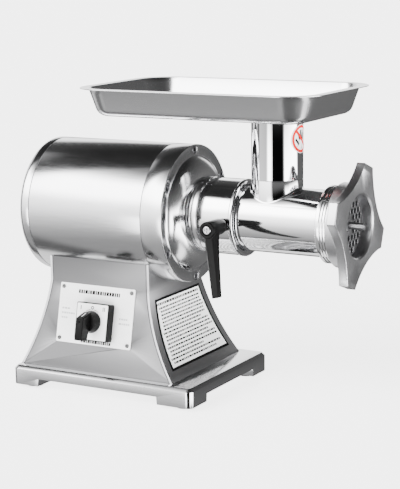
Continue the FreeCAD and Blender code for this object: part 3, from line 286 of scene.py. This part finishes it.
def panel_half(z):
    """Half the information panel's width at height z."""
    return STAND_HALF + STAND_SPREAD * (STAND_CREASE - z) - PANEL_INSET


def panel_field(low, high, margin, steps=48):
    """Rows of the panel's width between two heights, kept margin inside its edges."""
    heights = [low + (high - low) * k / steps for k in range(steps + 1)]
    return [((margin - panel_half(z), z), (panel_half(z) - margin, z)) for z in heights]


def written_line(z, indent, thick, loss):
    """Dashes of mixed lengths across the panel at height z, ending loss short of its right margin."""
    marks = []
    y = indent - panel_half(z)
    end = panel_half(z) - TEXT_MARGIN - loss
    while y < end:
        word = random.uniform(0.0022, 0.0075)
        marks.append(bar_mark(y, min(y + word, end), z - thick, z + thick))
        y += word + WORD_GAP
    return marks


def paragraph_mark(z, indent):
    """The small block in front of a paragraph's first line."""
    y = indent - panel_half(z)
    return bar_mark(y - 0.0038, y - 0.0012, z - 0.0013, z + 0.0013)


panel_rings = strip_rings(panel_field(PANEL_LOW, PANEL_HIGH, 0.0), on_front, -PANEL_THICK, 0)
place("panel_sheet", *skinned(panel_rings), ink, "machine", "panel_print", ("information_panel",))
printed("panel_field", on_front, [panel_field(0.0493, 0.1381, 0.0042)], "machine", "panel_print", white_print)
random.seed(4)
paragraph_starts = (1, 8, 12, 15)
paragraph_ends = (7, 11, 14, 16)
writing = [paragraph_mark(HEADING_HEIGHT, HEADING_INDENT)]
writing += written_line(HEADING_HEIGHT, HEADING_INDENT, 0.0017, random.uniform(0, 0.004))
for line in range(1, 17):
    z = HEADING_HEIGHT - HEADING_SPACE - LINE_PITCH * (line - 1)
    loss = random.uniform(0.012, 0.05) if line in paragraph_ends else random.uniform(0, 0.004)
    if line in paragraph_starts:
        writing.append(paragraph_mark(z, TEXT_INDENT))
    writing += written_line(z, TEXT_INDENT, 0.0012, loss)
printed("panel_writing", on_front, writing, "machine", "panel_print", ink, 0.00016)


# Control panel: a white printed steel plate held on the stand's side by four cross-head screws. It carries a
# square black switch box with a white dial. Its writing is drawn as dashes and its positions as I, 0 and II.

black_plastic = surface("black_plastic", (0.003, 0.003, 0.003), metallic=0, rough=0.3, spread=0.05, grain=700,
                        gloss=0.07)
grey_plastic = surface("grey_plastic", (0.35, 0.35, 0.36), metallic=0, rough=0.5, grain=500)
pale_ink = surface("grey_ink", (0.42, 0.42, 0.43), metallic=0, rough=0.5, grain=900)
dress("control_plate", white_print, 0.0003)
plate_screw = surface("plate_screws", (0.1, 0.1, 0.1), rough=0.3, grain=900)
dress("control_plate_screws", plate_screw, 0.00015)
dress("switch_housing", black_plastic, 0.0006, 3)
dress("switch_dial_plate", white_print, 0.0002)
dress("switch_spindle", zinc, 0.0002)
dress("switch_contact_block", grey_plastic, 0.0003)

LEAN = math.atan(STAND_SPREAD)
PLATE_FACE = 0.0015  # the control plate's face, out from the stand's side
BOX_DEPTH = 0.0146
DIAL_THICK = 0.0008
DIAL_FACE = PLATE_FACE + BOX_DEPTH + DIAL_THICK
SWITCH = (-0.0203, -0.0534)  # the switch's axis, along the side and up its slope from the crease
NOTE_PITCH = 0.0068


def on_side(x, v, w):
    """A point on the stand's left side: x along it, v up its slope from the crease, w out from its face."""
    return Vector((x, -STAND_HALF + v * math.sin(LEAN) - w * math.cos(LEAN),
                   STAND_CREASE + v * math.cos(LEAN) + w * math.sin(LEAN)))


def at_switch(u, v, w):
    """A point measured from the switch's axis at the stand's side."""
    return on_side(SWITCH[0] + u, SWITCH[1] + v, w)


def dashes(u0, u1, v, thick, longest):
    """A row of word-like dashes."""
    marks = []
    u = u0
    while u < u1:
        word = lively.uniform(longest * 0.4, longest)
        marks.append(bar_mark(u, min(u + word, u1), v - thick, v + thick))
        u += word + longest * 0.22
    return marks


def arc_mark(cu, cv, inner, outer, start=0.0, sweep=360.0, steps=40):
    """A printed arc between two radii about (cu, cv)."""
    angles = [math.radians(start + sweep * k / steps) for k in range(steps + 1)]
    return [((cu + inner * math.cos(a), cv + inner * math.sin(a)),
             (cu + outer * math.cos(a), cv + outer * math.sin(a))) for a in angles]


def on_plate(u, v, w):
    """A point w out from the control plate's face."""
    return on_side(u, v, PLATE_FACE + w)


def on_dial(u, v, w):
    """A point w out from the dial's face, measured from the switch's axis."""
    return at_switch(u, v, DIAL_FACE + w)


lively = random.Random(9)
heading = dashes(-0.056, 0.015, -0.0118, 0.0027, 0.0046)
printed("control_heading", on_plate, heading, "machine", "panel_print")
notes = []
for k, right in enumerate((-0.068, -0.060, -0.071)):
    notes += dashes(-0.082, right, -0.0385 - NOTE_PITCH * k, 0.0012, 0.0045)
for k, right in enumerate((0.0305, 0.0345)):
    notes += dashes(0.0165, right, -0.0455 - NOTE_PITCH * k, 0.0012, 0.0045)
printed("control_notes", on_plate, notes, "machine", "panel_print", pale_ink)
footing = dashes(-0.045, 0.006, -0.0836, 0.0021, 0.0044)
printed("control_footing", on_plate, footing, "machine", "panel_print")
nought = arc_mark(0, 0.0205, 0.0013, 0.0025)
strokes = [bar_mark(u - 0.0006, u + 0.0006, 0.0165, 0.0225) for u in (-0.0195, 0.0180, 0.0205)]
sweeps = [arc_mark(0, 0, 0.0176, 0.0182, start, 26) for start in (100, 54)]
printed("dial_marks", on_dial, [nought, *strokes, *sweeps], "machine", "panel_print")


# Switch knob: a black moulded drum with a tall pointer grip, pressed on the square spindle. A white line is
# inlaid in the grip's sloping nose, and a screw with a cross slot sits in the hole in its outer face.

dress("switch_knob", black_plastic, 0.0008, 3)
# Painted shade: the screw in the knob's hole is given a near-black tone for the shade inside the hole.
painted_shade_screw = surface("painted_shade_screw", (0.03, 0.03, 0.03), rough=0.4, grain=900)
white_inlay = surface("white_inlay", (0.8, 0.8, 0.8), metallic=0, rough=0.4, grain=400, shade=0.02)
KNOB_GAP = 0.0003
SEAT = DIAL_FACE + KNOB_GAP  # how far the knob's foot is from the stand's side
NOSE_TIP = Vector((0.0054, 0.0314))  # up from the switch's axis, and out from the knob's foot
NOSE_ROOT = Vector((0.014, 0.013))
SCREW_DEPTH = 0.0018  # of the hole that the knob's screw sits in
SLOT = 0.0016  # half the length of each arm of its cross
SLOT_HALF = 0.00035  # half an arm's width


def on_nose(u, t, w):
    """A point on the grip's sloping nose: t runs from its lower, outer end to its root on the drum."""
    slope = NOSE_ROOT - NOSE_TIP
    away = Vector((-slope.y, slope.x)).normalized()
    v, out = NOSE_TIP + slope * t + away * w
    return at_switch(u, v, SEAT + out)


def in_grip(u, v, w):
    """A point w above the floor of the screw's hole."""
    return at_switch(u, v, SEAT + NOSE_TIP.y - SCREW_DEPTH + w)


inlay = bar_mark(-0.0008, 0.0008, 0.28, 0.86)
screw_head = arc_mark(0, 0, 0.0, 0.0025, steps=24)
cross = [bar_mark(-SLOT, SLOT, -SLOT_HALF, SLOT_HALF), bar_mark(-SLOT_HALF, SLOT_HALF, -SLOT, SLOT)]
printed("knob_line", on_nose, [inlay], "knob", "panel_print", white_inlay, 0.00012)
printed("knob_screw", in_grip, [screw_head], "knob", "screw_steel", painted_shade_screw, 0.0010)
# Painted shade: the cross slot is raised black ink standing in for the shade of a cut slot.
printed("knob_screw_slots", in_grip, cross, "knob", "screw_steel", ink, 0.00106)


# Electrical parts inside and behind the stand: a nylon cable gland and its nut, the start capacitor in a pale
# can under a steel strap, and a ceramic terminal block. They are bought parts.

can = surface("capacitor_can", (0.75, 0.75, 0.72), metallic=0, rough=0.3)
ceramic = surface("ceramic", (0.8, 0.78, 0.72), metallic=0, rough=0.25)
dress("cable_gland", black_plastic)
dress("gland_nut", black_plastic)
dress("start_capacitor", can)
dress("capacitor_clamp", zinc, 0.0002)
dress("terminal_block", ceramic)


# Motor housing: a rolled stainless tube, brushed along its length, closed behind by a deep-drawn cap on four
# screws. A narrow groove is left between the tube, the cap and the gearbox cover.

tube_steel = surface("tube_brushed", (0.66, 0.66, 0.67), rough=0.17, spread=0.04, grain=60,
                     stretch=(0.6, 12, 12), shade=0.035)
for name in ("motor_tube", "rear_cap"):
    dress(name, tube_steel, 0.0004)
dress("rear_cap_screws", zinc, 0.0002)


# Gearbox cover: an aluminium casting turned on its front, with a flat screw rim, a rounded cone and a short
# neck that carries a turned ring. Six socket screws with black-oxide heads hold it on.

AXIS = Vector((0.0, MID.y, 0.2602))  # the shafts' line, which runs along x
turned_alloy = surface("turned_alloy", (0.74, 0.74, 0.75), rough=0.16, spread=0.02, grain=1400, turned=AXIS,
                       shade=0.05, sheen_axis="X", sheen=0.35)
dark_screw = surface("socket_screws", (0.2, 0.2, 0.21), rough=0.32, grain=900)
for name in ("front_flange", "neck_ring"):
    dress(name, turned_alloy, 0.0005)
dress("flange_screws", dark_screw, 0.0003)


# Grinding head: socket, head tube and feed tube are of stainless steel, turned and polished to a mirror. The
# head tube slides into the socket, and the feed tube drops into the stub on top of the head tube.

mirror = surface("mirror_steel", (0.88, 0.88, 0.89), rough=0.045, spread=0.015, grain=20, shade=0.01)
polished = surface("polished_steel", (0.86, 0.86, 0.87), rough=0.085, spread=0.02, grain=40,
                   stretch=(1, 12, 12), shade=0.015)
dress("feed_tube", mirror, 0.0005)
for name in ("head_socket", "head_tube"):
    dress(name, polished, 0.0005)


# Drive inside the housing: laminated stator and rotor with copper windings, shafts in ball bearings, ground
# steel gears in a cast box, a nylon fan and the rubber oil seal at the output.

machined = surface("machined_steel", (0.5, 0.5, 0.52), rough=0.35, grain=500)
cast_alloy = surface("gearbox_casting", (0.5, 0.5, 0.52), rough=0.5, grain=400, relief=0.0002)
laminated = surface("laminations", (0.25, 0.25, 0.27), rough=0.45, grain=700, stretch=(40, 1, 1))
copper = surface("copper_wire", (0.7, 0.32, 0.15), rough=0.35, grain=800)
for name in ("rear_end_shield", "gearbox_housing"):
    dress(name, cast_alloy, 0)
for name in ("stator_core", "rotor_core"):
    dress(name, laminated, 0)
dress("stator_windings", copper, 0)
for name in ("motor_shaft", "motor_bearings", "motor_pinion", "counter_gear", "counter_pinion",
             "countershaft", "counter_bearings", "output_gear", "output_shaft", "output_bearings",
             "plate_key"):
    dress(name, machined, 0)
dress("cooling_fan", grey_plastic, 0)
dress("oil_seal", rubber, 0)
nylon = surface("nylon", (0.8, 0.78, 0.7), metallic=0, rough=0.45)
dress("auger_bushing", nylon, 0)


# Clamping lever: a black moulded handle on a steel stud in the socket's side, with a spring in its hub so
# that it can be lifted off its teeth and turned. A cross-head screw closes the hub.

lever_plastic = surface("lever_plastic", (0.004, 0.004, 0.004), metallic=0, rough=0.4, spread=0.06, grain=900,
                        gloss=0.09)
dress("lever_handle", lever_plastic, 0.0009, 3)
dress("lever_screw", zinc, 0.0002)
for name in ("clamp_stud", "lever_spring"):
    dress(name, machined, 0)


# Cutting parts: a cast auger with its stud, a four-winged knife and a perforated plate of tool steel. The
# ring nut is a cast stainless star with softly rounded lobes, and its thread holds the plate on the head.

auger_steel = surface("auger_casting", (0.3, 0.3, 0.31), rough=0.35, spread=0.05, grain=120)
for name in ("auger", "auger_stud"):
    dress(name, auger_steel, 0.0003)
plate_steel = surface("plate_steel", (0.34, 0.34, 0.35), rough=0.33, spread=0.04, grain=900, shade=0.06)
tool_steel = surface("tool_steel", (0.12, 0.12, 0.125), rough=0.4, spread=0.05, grain=600)
dress("knife", tool_steel, 0.0003)
dress("grinding_plate", plate_steel, 0.0003)
cast_nut = surface("cast_nut", (0.54, 0.54, 0.55), rough=0.32, spread=0.03, grain=500, shade=0.05)
dress("ring_nut", cast_nut, 0.0010, 3).visible_glossy = False


# Tray: a deep-drawn stainless pan with a turned-out rim, satin outside and in, welded on the upper end of the
# feed tube.

tray_steel = surface("tray_satin", (0.74, 0.74, 0.75), rough=0.2, spread=0.04, grain=80, stretch=(1, 20, 20),
                     shade=0.03)
dress("tray_pan", tray_steel, 0.0003).visible_glossy = False


# Safety sign: a round plastic sticker on the feed tube, white with a red ring and bar over a dark hand, the
# general sign for keeping hands out.

red = surface("sign_red", (0.6, 0.0, 0.0), metallic=0, rough=0.6, grain=500, shade=0.04, gloss=0.05)
FEED_X = 0.2283  # the feed tube's axis
FEED_RADIUS = 0.0362
SIGN_HEIGHT = 0.3762  # the sign's middle, on the tube's foremost line
SIGN_RADIUS = 0.0198
SIGN_THICK = 0.00035
ROW_END = 0.0001  # half the height of the sticker's first and last row


def on_tube(u, v, w):
    """A point on the sticker: u round the tube, v up it, w out from its face."""
    radius = FEED_RADIUS + SIGN_THICK + w
    turn = u / FEED_RADIUS
    return Vector((FEED_X + radius * math.cos(turn), radius * math.sin(turn), SIGN_HEIGHT + v))


def round_field(steps=48):
    """Upright rows across the sticker, which is a disc as seen from its front."""
    rows = []
    for k in range(steps + 1):
        u = FEED_RADIUS * math.asin(SIGN_RADIUS / FEED_RADIUS) * math.cos(math.pi * k / steps)
        across = FEED_RADIUS * math.sin(u / FEED_RADIUS)
        v = math.sqrt(max(SIGN_RADIUS ** 2 - across ** 2, ROW_END ** 2))
        rows.append(((u, -v), (u, v)))
    return rows


def slanted(u0, v0, u1, v1, half, steps=12):
    """A straight printed bar between two points, cut across its length so that it can bend."""
    along = Vector((u1 - u0, v1 - v0)).normalized()
    side = Vector((-along.y, along.x)) * half
    marks = []
    for k in range(steps + 1):
        p = Vector((u0 + (u1 - u0) * k / steps, v0 + (v1 - v0) * k / steps))
        marks.append((tuple(p - side), tuple(p + side)))
    return marks


place("sticker", *skinned(strip_rings(round_field(), on_tube, -SIGN_THICK, 0)), white_print, "tray",
      "sign_print", ("safety_sign",))
palm = slanted(-0.0045, -0.0125, 0.0008, 0.0012, 0.0054)
thumb = slanted(-0.0060, -0.0076, -0.0128, 0.0004, 0.0016)
fingertips = ((-0.0078, 0.0090), (-0.0025, 0.0128), (0.0030, 0.0122), (0.0078, 0.0086))
fingers = [slanted(-0.0046 + 0.0028 * k, -0.0010, *tip, 0.0015) for k, tip in enumerate(fingertips)]
ring = arc_mark(0, 0, 0.0152, 0.0190, steps=72)
bar = slanted(-0.0115, 0.0115, 0.0115, -0.0115, 0.0019)
printed("sign_hand", on_tube, [palm, *fingers, thumb], "tray", "sign_print")
printed("sign_ring", on_tube, [ring], "tray", "sign_print", red, 0.00012)
printed("sign_bar", on_tube, [bar], "tray", "sign_print", red, 0.00016)


# Studio: a pale glowing floor and backdrop, and a world of soft boxes and a dark flag round the object, which
# is what its polished metal mirrors. The floor and the backdrop aren't mirrored in it.

BRIGHTEST = 25.0  # the level that a full ramp stands for
FLOOR_RADIUS = 40.0


def glowing(name, tone, strength):
    """Matt paper lit from behind."""
    material = surface(name, (tone, tone, tone), metallic=0, rough=0.8, spread=0.05, grain=30, shade=0.01)
    shader = material.node_tree.nodes["Principled BSDF"]
    shader.inputs["Emission Color"].default_value = (1, 1, 1, 1)
    shader.inputs["Emission Strength"].default_value = strength
    material.cycles.emission_sampling = "NONE"
    return material


def stage_piece(name, work, material):
    """A smooth stage object that the metal doesn't mirror and that casts no shadow."""
    mesh = bpy.data.meshes.new(name)
    work.to_mesh(mesh)
    work.free()
    mesh.materials.append(material)
    mesh.shade_smooth()
    obj = bpy.data.objects.new(name, mesh)
    bpy.context.scene.collection.objects.link(obj)
    obj.visible_glossy = False
    obj.visible_shadow = False
    return obj


disc = bmesh.new()
bmesh.ops.create_circle(disc, cap_ends=True, segments=96, radius=FLOOR_RADIUS)
stage_piece("floor", disc, glowing("floor_paper", 0.86, 3.8))
ball = bmesh.new()
bmesh.ops.create_icosphere(ball, subdivisions=4, radius=FLOOR_RADIUS + 1)
stage_piece("backdrop", ball, glowing("backdrop_paper", 0.0, 5.0)).visible_diffuse = False

world = bpy.data.worlds.new("studio_world")
bpy.context.scene.world = world
world.use_nodes = True
sky = world.node_tree
background = sky.nodes["Background"]


def reckon(operation, *values):
    """One math node of the sky, fed with numbers or other nodes' results."""
    node = sky.nodes.new("ShaderNodeMath")
    node.operation = operation
    for socket, value in zip(node.inputs, values):
        if isinstance(value, (int, float)):
            socket.default_value = value
        else:
            sky.links.new(value, socket)
    return node.outputs[0]


def step(value, centre, soft):
    """0 below centre and 1 above it, in degrees, with a soft change."""
    node = sky.nodes.new("ShaderNodeMapRange")
    node.interpolation_type = "SMOOTHSTEP"
    node.inputs["From Min"].default_value = math.radians(centre - soft)
    node.inputs["From Max"].default_value = math.radians(centre + soft)
    sky.links.new(value, node.inputs["Value"])
    return node.outputs[0]


def window(value, low, high, soft):
    """1 between two angles and 0 outside them, with soft edges."""
    return reckon("MULTIPLY", step(value, low, soft), reckon("SUBTRACT", 1.0, step(value, high, soft)))


def profile(value, stops):
    """Brightness against elevation from (degrees, brightness) stops."""
    node = sky.nodes.new("ShaderNodeValToRGB")
    ramp = node.color_ramp
    while len(ramp.elements) < len(stops):
        ramp.elements.new(0.5)
    for element, (degrees, level) in zip(ramp.elements, stops):
        share = level / BRIGHTEST
        element.position = (degrees + 90) / 180
        element.color = (share, share, share, 1)
    height = reckon("ADD", reckon("DIVIDE", value, math.pi), 0.5)
    sky.links.new(height, node.inputs["Fac"])
    return reckon("MULTIPLY", node.outputs["Color"], BRIGHTEST)


def soft_box(left, right, side_soft, low, high, edge_soft):
    """A box between two azimuths and two elevations, in degrees."""
    across = window(azimuth, left, right, side_soft)
    return reckon("MULTIPLY", across, window(elevation, low, high, edge_soft))


direction = sky.nodes.new("ShaderNodeTexCoord").outputs["Generated"]
parts = sky.nodes.new("ShaderNodeSeparateXYZ")
sky.links.new(direction, parts.inputs[0])
azimuth = reckon("ARCTAN2", parts.outputs["Y"], parts.outputs["X"])
elevation = reckon("ARCSINE", parts.outputs["Z"])
front_box = profile(elevation, [(-90, 0.4), (-40, 0.5), (-28, 0.8), (-14, 1.6), (-1, 3.2), (12, 5.0),
                                (24, 12), (42, 13), (53, 2.4), (61, 0.45), (90, 0.2)])
dim_room = profile(elevation, [(-90, 0.06), (-60, 0.12), (-30, 0.2), (-8, 0.12), (4, 0.2), (30, 0.1),
                               (48, 0.03), (70, 0.03), (90, 0.2)])
in_front = window(azimuth, -154, -92, 5)
side_box = soft_box(-32, 35, 3, -26, 4, 6)
strip_box = soft_box(-110, -90, 6, -27, -3, 4)
back_glow = soft_box(92, 158, 8, 3, 22, 4)
low_left = soft_box(122, 179, 8, -66, -28, 6)
low_right = soft_box(6, 30, 4, -62, -34, 5)
rear_box = soft_box(158, 179, 6, -20, 40, 10)
flag = soft_box(-87, -39, 1.5, -32, 6, 6)
light = reckon("ADD", reckon("MULTIPLY", front_box, in_front),
               reckon("MULTIPLY", dim_room, reckon("SUBTRACT", 1.0, in_front)))
for box, level in ((side_box, 11.0), (strip_box, 8.0), (back_glow, 3.0), (rear_box, 2.0), (low_left, 1.6),
                   (low_right, 3.0)):
    light = reckon("ADD", light, reckon("MULTIPLY", box, level))
light = reckon("MULTIPLY", light, reckon("SUBTRACT", 1.0, reckon("MULTIPLY", flag, 0.985)))
background.inputs["Color"].default_value = (1, 1, 1, 1)
sky.links.new(light, background.inputs["Strength"])

# Camera: a long lens a little over two metres away and above the height of the tray, which sees the side with
# the controls and the front. It is rolled by less than a degree.

camera_data = bpy.data.cameras.new("camera")
camera = bpy.data.objects.new("camera", camera_data)
bpy.context.scene.collection.objects.link(camera)
camera_data.lens = 113.17
camera_data.sensor_width = 36.0
camera.location = (1.06315, -1.8959, 0.6326)
target = Vector((-0.00155, 0.0091, 0.2147))
aim = (target - camera.location).to_track_quat("-Z", "Y")
roll = math.radians(-0.7307)
camera.rotation_mode = "QUATERNION"
camera.rotation_quaternion = aim @ Matrix.Rotation(roll, 3, "Z").to_quaternion()
camera_data.clip_start = 0.05
bpy.context.scene.camera = camera
